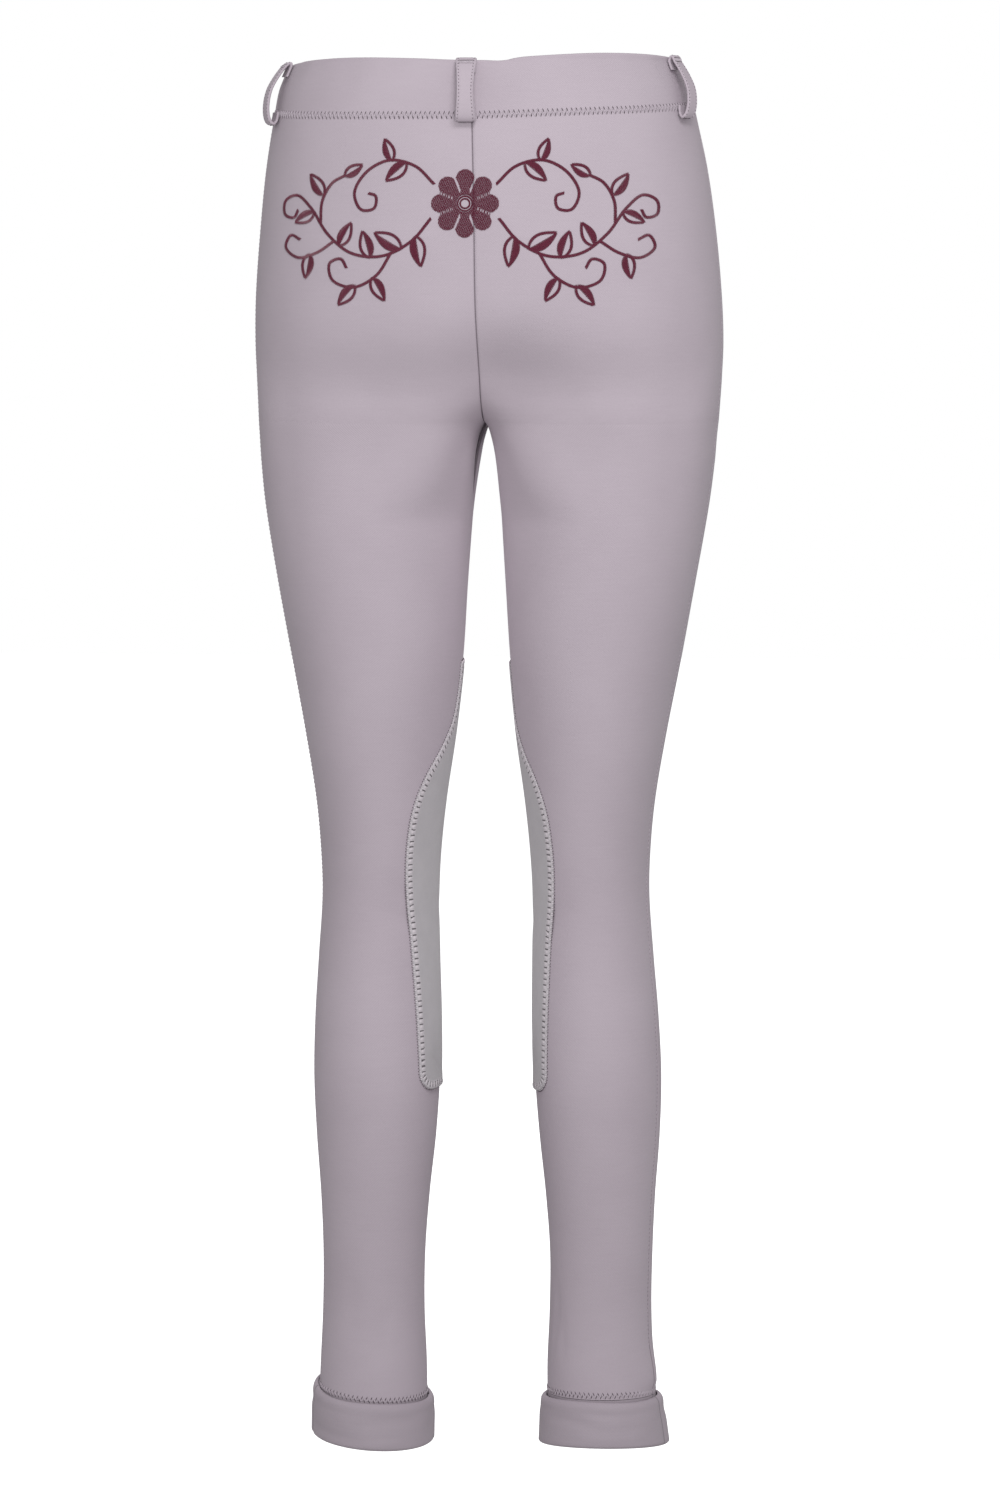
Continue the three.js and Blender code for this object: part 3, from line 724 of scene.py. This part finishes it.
for side, sign in SIDES.items():
    t = np.linspace(0, 1, PATCH_ROWS + 1)
    u = np.linspace(0, 1, PATCH_COLUMNS + 1)
    crowded = 0.5 * u + 0.5 * (1 - np.cos(np.pi * u)) / 2
    level = PATCH_TOP + (PATCH_FOOT - PATCH_TOP) * (1 - np.cos(np.pi * t)) / 2
    drop, share = np.meshgrid(level, crowded, indexing="ij")
    flat_face = patch_point(sign, drop, share, 1.0)
    places = measured(round_border(flat_face), BORDER_STEP)
    border = pick(round_border(flat_face), places)
    distance = np.linalg.norm(flat_face[:, :, None] - border[None, None], axis=-1)
    inward = distance.min(axis=2)
    round_it = distance.argmin(axis=2) * BORDER_STEP
    run = run_along(flat_face, axis=1)
    roll = 0.95 * rounded(inward / 1.1, 1)
    curled = 0.9 * hump(PATCH_FOOT - drop, 6)
    creased = crease_relief(PATCH_CREASES[side], run, drop)
    relief = PATCH_STAND_OFF - roll - 0.22 * hump(inward - 3, 1.6) + curled + creased
    outer = patch_point(sign, drop, share, relief)
    inner = patch_point(sign, drop, share, 0.3 + curled - 0.15 * hump(inward, 1.5))
    maps = {"cloth": cloth_map(run, drop), "edge": cloth_map(inward, -round_it)}
    piece = cloth_shell(f"knee_patch_{side}_suede", outer, inner, maps)
    put_on(piece, grip_suede, f"knee_patch_{side}")

    # The zigzag takes in the patch's edge: a pair of threads at each rung, which run together on the
    # patch, and beside each of them on the knit a dark mark of painted shade in the needle hole.
    normal_grid = unit(flat_face - patch_point(sign, drop, share, 0.0))
    edge_normal = pick(round_border(normal_grid), places)
    tangent = unit(np.gradient(border, axis=0))
    inwards = np.cross(edge_normal, tangent)
    centre = flat_face.mean(axis=(0, 1))
    inwards *= np.sign(np.sum(inwards * (centre - border), axis=1, keepdims=True))
    count = int(len(border) * BORDER_STEP / RUNG)
    rungs = (np.arange(count) + 0.5) * RUNG / BORDER_STEP
    rungs = rungs[rungs < len(border) - 2]
    point, up, inner_way, onward = (
        np.concatenate([pick(v, rungs)] * 2) for v in (border, edge_normal, inwards, tangent)
    )
    apart = onward * np.repeat([-1, 1], len(rungs))[:, None]
    on_knit = point - inner_way * 0.35 - up * 0.9 + apart * 0.85
    on_patch = point + inner_way * 1.3 + up * 0.1 + apart * 0.3
    sew(f"knee_patch_{side}_zigzag", on_knit, on_patch, up, patch_thread, 0.34, 0.6, slot="suede")
    shaded_hole = point - inner_way * 0.55 - up * 0.8 + apart * 1.05
    sew(f"knee_patch_{side}_hole_shadows", shaded_hole - onward * 0.3, shaded_hole + onward * 0.3, up, needle_hole_shade,
        0.5, 0.02, slot="suede", rings=3)

# TURNED-UP ANKLES
# Each leg ends in a doubled band of the knit, sewn on at the hem, turned up outside the leg and left
# standing off it. The lower edge is a soft fold, and the cloth is dented where it is creased.
TURN_UP_COLUMNS = 200
TURN_UP_ROWS = 24
TURN_UP_LIP = 1.2
# Half width, in turns, of a turn-up's grooves at the side seam and the inside leg.
TURN_UP_GROOVE = 1 / 60
# Dents of the turn-ups, by the run round the leg and the distance down from its top edge.
CUFF_DENTS = {
    "left": [
        (20, 12, 70, 16, 2, 4, -0.7), (60, 24, 110, 21, -2, 3.5, -0.5), (100, 10, 150, 13, 1, 3, -0.5),
        (150, 22, 205, 18, 2, 4, -0.6), (34, 27, 60, 29, 1, 2.5, 0.5), (8, 6, 12, 26, 1, 3, -0.4),
        (190, 8, 230, 12, 2, 4, -0.6),
    ],
    "right": [
        (18, 14, 60, 19, 3, 4, -0.8), (50, 8, 84, 10, -1, 3, -0.5), (44, 26, 90, 23, -2, 3.5, 0.6),
        (96, 15, 150, 11, 2, 4, -0.6), (140, 24, 190, 20, 2, 4, -0.6), (72, 12, 76, 28, 1, 3, -0.4),
        (196, 10, 232, 15, 2, 4, -0.6),
    ],
}


def turn_up(side, sign):
    top, height, roll, pitch, fold_pitch, flare = TURN_UPS[side]
    fold_start = top + height - 2.8
    turn = np.linspace(0, 2, TURN_UP_COLUMNS, endpoint=False)[:, None]
    run = run_along(skin_point(sign, turn[:, 0], top))[:, None]
    edge = askew(side, turn, pitch)
    if side == "left":
        edge = edge - 4.0 * hump(turn - 1.15, 0.28)
    fold = askew(side, turn, fold_pitch)
    seam = side_seam_turn(HEM_DROP)
    stand = np.linspace(0, 1, TURN_UP_ROWS)
    bend = np.linspace(0, 1, 13)[1:]
    rise = np.linspace(0, 1, 10)[1:]

    def face(gap, depth, hem_out, is_outside):
        """One face of the doubled cloth: down from the top edge, round the fold and up inside to the hem."""
        below_edge = (fold_start - top) * stand ** 1.5
        rolled = rounded(below_edge, TURN_UP_LIP) * (-1 if is_outside else 1)
        out = gap + flare * (below_edge / (fold_start - top)) ** 1.2 + rolled
        out += 0.35 * hump(below_edge - 2.2, 1.6) - 0.5 * hump(below_edge - 7.5, 3.5)
        out -= 2.1 * hump(below_edge, 3.4)
        swing = (1 - np.cos(np.pi * bend)) / 2
        round_fold = gap + flare + (hem_out - gap - flare) * swing
        out = np.concatenate([out, round_fold, np.full(len(rise), hem_out)])
        level = np.concatenate([
            top + below_edge,
            fold_start + depth * np.sin(np.pi * bend),
            fold_start + (top - 1.2 - fold_start) * rise,
        ])
        out, level, _ = np.broadcast_arrays(out, level, turn)
        outside = np.zeros(out.shape)
        outside[:, :TURN_UP_ROWS] = 1
        outside[:, TURN_UP_ROWS : TURN_UP_ROWS + 6] = np.linspace(1, 0, 6)
        dents = crease_relief(CUFF_DENTS[side], np.broadcast_to(run, out.shape), level - top) * outside
        seam_groove = -0.6 * hump(turn - seam, TURN_UP_GROOVE) - 0.5 * hump(turn, TURN_UP_GROOVE)
        ripple = 0.3 * np.sin(turn * 9.5 + 0.6) * np.sin(turn * 4.1) * outside
        down = edge + (fold - edge) * (level - top) / height
        wave = 0.45 * np.sin(turn * np.pi * 3 + 1) * outside * np.linspace(1, 0, len(out[0])) ** 3
        return skin_point(sign, np.broadcast_to(turn, out.shape), level + down + wave,
                          out + dents + ripple + seam_groove * outside), out, level

    outer, out, level = face(5.1, 2.8, -2.6, True)
    inner, _, _ = face(2.5, 0.95, 0, False)
    length = run_along(np.stack([out[0], level[0]], -1)) + np.zeros(out.shape)
    to_seam = np.abs(turn - seam) * run[-1] / 2 + np.zeros(out.shape)
    maps = {
        "cloth": cloth_map(run + np.zeros(out.shape), length),
        "seams": cloth_map(to_seam * 0.7, -to_seam),
    }
    return cloth_shell(f"turn_up_{side}_band", outer, inner, maps, is_ring=True)


TURN_UP_CUT = {"left": (0.25, 0.068), "right": (0.258, 0.072)}
# How far above the turn-up's top edge each hem is stitched.
HEM_STITCH = {"left": 4.4, "right": 6.2}
# The turn-ups' knit: a darker copy of the lilac knit as painted shade, with the painted seam shade as well.
turn_up_shaded_knit = knit_material("turn_up_shaded_knit", ((0.335, 0.286, 0.327), (0.415, 0.361, 0.406)), has_seam_shade=True)

for side, sign in SIDES.items():
    piece = put_on(turn_up(side, sign), turn_up_shaded_knit, f"turn_up_{side}")
    length, width = TURN_UP_CUT[side]

    # Zigzag cover stitch of the hem, just above the turn-up.
    top, _, _, pitch = TURN_UPS[side][:4]
    zigzag(f"hem_stitch_{side}", sign, 0, 2,
           lambda turn: top + askew(side, turn, pitch) - HEM_STITCH[side], width=3.9, step=1.6)

# BELT LOOPS
# Three strips of doubled knit with an edge stitch along both sides. The ends are turned under and
# barred to the waistband, and the loops stand off it far enough for a riding belt.
LOOP_CLOTH = 1.7
# The strip's line from its upper end to its lower end: out from the band, and down from its top.
LOOP_LINE = np.array([
    (1.6, 8.5), (1.6, 4), (2, 1.1), (3.2, -0.3), (4.9, 1.4), (7.2, 7.5), (8.9, 16), (9.3, 24.5),
    (8.4, 32), (6.2, 37.2), (3.6, 39), (2.1, 37.6), (1.6, 34.8), (1.6, 31.5),
])
# Name, side, turn, slant, bulge, width at the ends, width in the middle.
BELT_LOOPS = [
    ("back", -1, 0.012, 0, 1, 13.4, 10.8),
    ("left", -1, 0.82, 0.01, 0.98, 12.6, 12.2),
    ("right", 1, 0.835, 0.06, 0.92, 12.6, 12.2),
]
LOOP_HEIGHT = 39
LOOP_STATIONS = 90
LOOP_COLUMNS = 18
# Edge stitches: in from the edge, step and length. Bars: along the strip from its two ends.
EDGE_STITCH = (1.5, 2.3, 1.65)
BAR_PLACES = (12.6, 7.5)
BAR_STITCHES = 13


def smooth_line(points, stations):
    """Centripetal Catmull-Rom curve through the points, taken at even lengths."""
    ends = np.concatenate([[2 * points[0] - points[1]], points, [2 * points[-1] - points[-2]]])
    dense = []
    for k in range(len(points) - 1):
        a, b, c, d = near = ends[k : k + 4]
        knots = np.concatenate([[0], np.cumsum(np.linalg.norm(np.diff(near, axis=0), axis=1) ** 0.5)])
        t = np.linspace(knots[1], knots[2], 30, endpoint=False)[:, None]

        def mix(p, q, first, last):
            start, end = knots[first], knots[last]
            return p * (end - t) / (end - start) + q * (t - start) / (end - start)

        ab, bc, cd = mix(a, b, 0, 1), mix(b, c, 1, 2), mix(c, d, 2, 3)
        dense.append(mix(mix(ab, bc, 0, 2), mix(bc, cd, 1, 3), 1, 2))
    dense = np.concatenate(dense + [points[-1:]])
    length = run_along(dense)
    even = np.linspace(0, length[-1], stations)
    return np.stack([np.interp(even, length, dense[:, k]) for k in range(2)], -1), length[-1]


for name, sign, turn, slant, bulge, end_width, waist_width in BELT_LOOPS:
    line = LOOP_LINE.copy()
    line[:, 0] = line[0, 0] + (line[:, 0] - line[0, 0]) * bulge
    path, strip_length = smooth_line(line, LOOP_STATIONS)
    tangent = unit(np.gradient(path, axis=0))
    band_top = band_edge(1, turn, sign)

    def place(out, drop, across):
        angle = (turn - slant * drop / LOOP_HEIGHT - 1) * reach(0)
        middle = form_point(angle, WAIST_DROP)
        outwards = form_normal(middle[..., 0], middle[..., 1], WAIST_DROP)
        outwards = unit(outwards * np.array([1, 1, 0]))
        widthways = np.stack([-outwards[..., 1], outwards[..., 0], np.zeros(angle.shape)], -1)
        point = form_point(angle, band_top + drop)
        point = point + outwards * out[..., None] + widthways * across[..., None]
        return on_side(point, sign, band_top + drop)

    drop_share = np.clip(path[:, 1] / LOOP_HEIGHT, 0, 1)
    width = waist_width + (end_width - waist_width) * np.abs(2 * drop_share - 1) ** 1.6
    across = np.linspace(-0.5, 0.5, LOOP_COLUMNS + 1)
    to_edge = (0.5 - np.abs(across))[None, :] * width[:, None]
    half = LOOP_CLOTH / 2 - rounded(to_edge, 0.7)
    stitched_in = half - 0.32 * hump(to_edge - EDGE_STITCH[0], 0.6)
    spread = across[None, :] * width[:, None]
    (out, down), (out_ward, down_ward) = path.T[:, :, None], tangent.T[:, :, None]
    outer = place(out + down_ward * stitched_in, down - out_ward * stitched_in, spread)
    inner = place(out - down_ward * half, down + out_ward * half, spread)
    run = np.linspace(0, strip_length, LOOP_STATIONS)[:, None] + np.zeros(half.shape)
    piece = cloth_shell(f"belt_loop_{name}_strip", outer, inner, {"cloth": cloth_map(spread, run)})
    put_on(piece, lilac_knit, f"belt_loop_{name}")

    # Edge stitches along both edges, close bars across both ends, and dark marks of painted shade in the
    # needle holes beside them.
    stitches = []
    rows = np.arange(LOOP_STATIONS)
    face_normal = (outer[:, LOOP_COLUMNS // 2] - inner[:, LOOP_COLUMNS // 2]) / LOOP_CLOTH
    in_from_edge, *step_and_length = EDGE_STITCH
    for edge in (-1, 1):
        column = (edge * (0.5 - in_from_edge / width) + 0.5) * LOOP_COLUMNS
        i = np.floor(column).astype(int)
        t = (column - i)[:, None]
        stitched = outer[rows, i] * (1 - t) + outer[rows, i + 1] * t
        stitches.append(lockstitches(stitched, face_normal, *step_and_length))
    starts, ends, normals = map(np.concatenate, zip(*stitches))
    sew(f"belt_loop_{name}_stitch", starts, ends, normals, seam_thread, 0.3, 0.2)
    stride = ends - starts
    sew(f"belt_loop_{name}_hole_shadows", ends + stride * 0.02, ends + stride * 0.38, normals, needle_hole_shade,
        0.4, 0.02, rings=3)
    stitches = []
    for at_length in (BAR_PLACES[0], strip_length - BAR_PLACES[1]):
        row = np.full(BAR_STITCHES, at_length / strip_length * (LOOP_STATIONS - 1))
        left, right, up = (pick(v, row) for v in (outer[:, 3], outer[:, LOOP_COLUMNS - 3], face_normal))
        middle = left + (right - left) * np.linspace(0, 1, BAR_STITCHES)[:, None] + up * 0.05
        swing = np.cross(up, unit(right - left)) * 1.1 + (right - left) * 0.02
        stitches.append((middle - swing, middle + swing, up))
    starts, ends, normals = map(np.concatenate, zip(*stitches))
    sew(f"belt_loop_{name}_bars", starts, ends, normals, seam_thread, 0.32, 0.4)
    # Dark marks of painted shade in the needle holes at both ends of each bar stitch.
    tips = np.concatenate([starts, ends])
    outward = np.concatenate([starts - ends, ends - starts]) * 0.22
    sew(f"belt_loop_{name}_bar_hole_shadows", tips, tips + outward, np.concatenate([normals] * 2), needle_hole_shade,
        0.4, 0.02, rings=3)

# EMBROIDERY
# A leafy scroll with one filled rosette, worked in burgundy rayon across the seat after the centre
# back seam is closed. The outlines are narrow satin stitch, and the rosette is filled in rows.
embroidery_thread = thread_material("burgundy_rayon", (0.125, 0.012, 0.036), 0.45, 0.12)
SATIN_WIDTH = 2.1
SATIN_STEP = 0.42
EMBROIDERY_CENTRE = (-5, 92)
EMBROIDERY_SCALE = 0.95

# The spray on the right of the rosette, x to the right and y up from the rosette's middle.
STEMS = [
    [(23, -10), (36, -25), (56, -35), (78, -33), (95, -20), (107, -3), (118, 6), (127, 2), (127, -7),
     (120, -9), (117, -4)],
    [(21, 13), (34, 25), (52, 29), (68, 21), (76, 7), (71, -4), (62, -3), (61, 5), (66, 7)],
    [(50, -33), (60, -48), (76, -56), (91, -51), (93, -40), (85, -37), (81, -43)],
    [(90, -25), (103, -33), (117, -36), (126, -29), (122, -21), (115, -24)],
    [(100, -13), (99, 2), (92, 14), (83, 19)],
]
# Leaves: base, heading in degrees, length and the half that is filled.
LEAVES = [
    ((33, -22), -100, 20, 1), ((43, -30), 30, 21, -1), ((65, -36), 74, 18, 1), ((63, -50), -120, 17, -1),
    ((86, -28), 118, 17, -1), ((40, 27), -40, 18, 1), ((50, 29), 70, 15, -1), ((75, -55), -48, 17, 1),
    ((108, -34), -80, 16, -1), ((98, 6), 55, 17, -1), ((83, 19), 150, 14, 1), ((105, -6), -25, 15, 1),
]


def seat_point(x, drop, out):
    """A point on the back of the garment by its distance from the centre plane and its drop."""
    lean = along(FORM, LEAN, drop)
    side = np.sign(x - lean + 1e-9)
    off = np.abs(x - lean)
    middle_x, half_width, middle_y, half_depth, square = oval(drop)
    y = middle_y - half_depth * (1 - np.abs((off - middle_x) / half_width) ** square) ** (1 / square)
    normal = form_normal(off, y, drop)
    point = np.stack([off, y, WAIST_DROP - drop], -1) + normal * out
    point[..., 0] = side * point[..., 0] + lean
    point[..., 1] -= seat_shape(x - lean, drop, -normal[..., 1])
    normal[..., 0] *= side
    return point, normal


starts, ends, normals = [], [], []


def put_stitches(first, second, out=0.25):
    """Keeps stitches given by design points."""
    for values, into in ((first, starts), (second, ends)):
        x, y = (values * EMBROIDERY_SCALE).T
        point, normal = seat_point(EMBROIDERY_CENTRE[0] + x, EMBROIDERY_CENTRE[1] - y, out)
        into.append(point)
    normals.append(normal)


def satin_line(line, mirror):
    """Slanting satin stitches side by side along a line."""
    line = line * np.array([mirror, 1])
    heading = unit(np.gradient(line, axis=0))
    slanted = np.stack([-heading[:, 1] + 0.45 * heading[:, 0], heading[:, 0] + 0.45 * heading[:, 1]], -1)
    slanted *= SATIN_WIDTH / 2 / EMBROIDERY_SCALE
    put_stitches(line - slanted, line + slanted)


for mirror in (1, -1):
    for points in STEMS:
        _, length = smooth_line(np.array(points, float), 10)
        line, _ = smooth_line(np.array(points, float), int(length / SATIN_STEP))
        satin_line(line, mirror)
    for base, heading, length, filled_half in LEAVES:
        t = np.linspace(0, 1, int(length * 1.05 / SATIN_STEP))
        bulge = length * 0.23 * np.sin(np.pi * t ** 0.8) ** 0.9
        c, s = math.cos(math.radians(heading)), math.sin(math.radians(heading))
        edge, other_edge, rib = (
            np.stack([t * length, half * bulge], -1) @ np.array([(c, s), (-s, c)]) + np.array(base)
            for half in (filled_half, -filled_half, 0)
        )
        satin_line(edge, mirror)
        satin_line(other_edge, mirror)
        put_stitches(*(v[3:-3] * np.array([mirror, 1]) for v in (rib, edge)), 0.2)

# The rosette: eight round petals filled in upright rows, stitches 3 mm long set like bricks.
angle = np.linspace(0, 2 * np.pi, 721)
petal_edge = 15.5 + 7.5 * np.abs(np.cos(4 * angle)) ** 0.55
first, second = [], []
for k, x in enumerate(np.arange(-23, 23, 0.48)):
    y = np.arange(-24, 24, 0.1)
    radius, around = np.hypot(x, y), np.arctan2(y, x) % (2 * np.pi)
    petal = np.interp(around, angle, petal_edge)
    between = np.abs((around / (np.pi / 4)) % 1 - 0.5) * radius * np.pi / 4
    filled = (radius < petal) & (radius > 5.6) & ((between > 0.65) | (radius < 8))
    row = np.floor((y + (k % 3) * 1.05) / 3.15)
    for cell in np.unique(row[filled]):
        span = y[filled & (row == cell)]
        if len(span) > 6:
            first.append((x, span[0]))
            second.append((x, span[-1] + 0.1))
put_stitches(np.array(first), np.array(second), 0.3)
for radius in (3.2, 4.9):
    circle = np.stack([np.cos(angle[::8]), np.sin(angle[::8])], -1)
    put_stitches(circle * (radius - 0.6), circle * (radius + 0.6))
sew("seat_embroidery", *map(np.concatenate, (starts, ends, normals)), embroidery_thread, 0.26, 0.3,
    sides=4, rings=3)

# FLOOR, LIGHT AND CAMERA
# A white studio: pale floor, even white surround, a soft light high beside the camera, one at the
# camera and one on the far side, and two faint fills between the legs.
bpy.ops.mesh.primitive_plane_add(size=14, location=(0, 0, -0.975))
floor = bpy.context.object
floor.name = "studio_floor"
bpy.ops.object.transform_apply(location=True, rotation=True, scale=True)
floor_white = bpy.data.materials.new("floor_white")
shaded(start_nodes(floor_white), Base_Color=(0.9, 0.9, 0.9, 1), Roughness=1,
       Emission_Color=(1, 1, 1, 1), Emission_Strength=0.7)
floor.data.materials.append(floor_white)
floor.visible_diffuse = False
floor.visible_glossy = False

world = bpy.data.worlds.new("studio_surround")
add = start_nodes(world)
sees = add("ShaderNodeLightPath").outputs["Is Camera Ray"]
lit, seen = (add("ShaderNodeBackground", {"Color": (1, 1, 1, 1), "Strength": s}) for s in (0.5, 1))
both = add("ShaderNodeMixShader", {0: sees, 1: lit.outputs[0], 2: seen.outputs[0]})
add("ShaderNodeOutputWorld", {"Surface": both.outputs[0]})
bpy.context.scene.world = world


def softbox(name, place, target, size, power):
    light = bpy.data.lights.new(name, "AREA")
    light.shape = "RECTANGLE"
    light.size, light.size_y = size
    light.energy = power
    lamp = bpy.data.objects.new(name, light)
    lamp.location = place
    lamp.rotation_euler = (Vector(target) - Vector(place)).to_track_quat("-Z", "Y").to_euler()
    lamp.visible_camera = False
    bpy.context.scene.collection.objects.link(lamp)


softbox("key_light", (0.5, -1.4, 1.2), (0, 0, -0.1), (0.8, 0.5), 13.4)
softbox("camera_light", (0.16, -1.6, -0.05), (0, 0, -0.12), (0.7, 0.7), 10.2)
softbox("far_side_light", (-0.2, 2.0, 0.9), (0, 0, -0.3), (0.9, 0.6), 14)
softbox("left_leg_fill", (0.0, -0.01, -0.43), (-1, -0.01, -0.43), (0.1, 0.4), 0.02)
softbox("right_leg_fill", (0.0, -0.01, -0.43), (1, -0.01, -0.43), (0.1, 0.4), 0.025)

scene = bpy.context.scene
scene.view_settings.view_transform = "Standard"
azimuth, elevation, distance = math.radians(5), math.radians(6), 3.2
target = Vector((0.008 * math.cos(azimuth), 0.008 * math.sin(azimuth), -0.43505))
level_away = math.cos(elevation)
away = Vector((math.sin(azimuth) * level_away, -math.cos(azimuth) * level_away, math.sin(elevation)))
lens = bpy.data.cameras.new("camera")
lens.lens = 115.2
lens.sensor_width = 36
camera = bpy.data.objects.new("camera", lens)
camera.location = target + away * distance
camera.rotation_euler = (-away).to_track_quat("-Z", "Y").to_euler()
scene.collection.objects.link(camera)
scene.camera = camera
